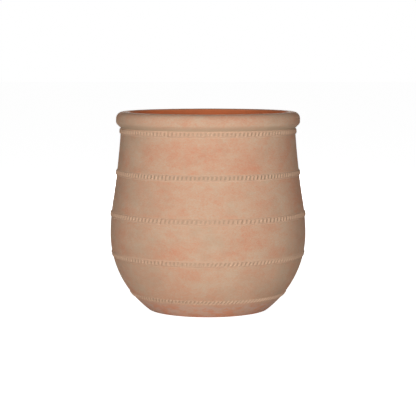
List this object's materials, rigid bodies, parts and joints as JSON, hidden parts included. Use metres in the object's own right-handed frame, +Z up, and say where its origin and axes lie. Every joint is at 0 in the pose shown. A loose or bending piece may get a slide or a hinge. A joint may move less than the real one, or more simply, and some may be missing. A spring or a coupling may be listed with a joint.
{
  "type": "flower pot",
  "caption": "Round-bellied limewashed terracotta floor pot with a rolled rim, slant-notched bands round the wall, a flat foot and a drain hole.",
  "frame": {"origin": "on the pot's axis, in the plane that the foot stands on", "axes": "+Z up along the pot's axis, -Y towards the viewer of the picture"},
  "size_m": [0.4502, 0.4502, 0.455],
  "materials": {
    "limewashed_wall": "low-fired terracotta, brushed with a thin buff limewash and rubbed back, matt",
    "limewashed_band": "pressed terracotta strip, limewash left in the notches and rubbed off the ridges, matt",
    "bare_terracotta": "bare low-fired red clay, matt"
  },
  "bodies": {
    "root": {"floor_disc": "bare_terracotta", "rim_roll": "limewashed_wall", "neck_course": "limewashed_wall", "shoulder_course": "limewashed_wall", "upper_belly_course": "limewashed_wall", "lower_belly_course": "limewashed_wall", "foot_course": "limewashed_wall", "neck_band": "limewashed_band", "shoulder_band": "limewashed_band", "upper_belly_band": "limewashed_band", "lower_belly_band": "limewashed_band", "foot_band": "limewashed_band"}
  },
  "joints": []
}
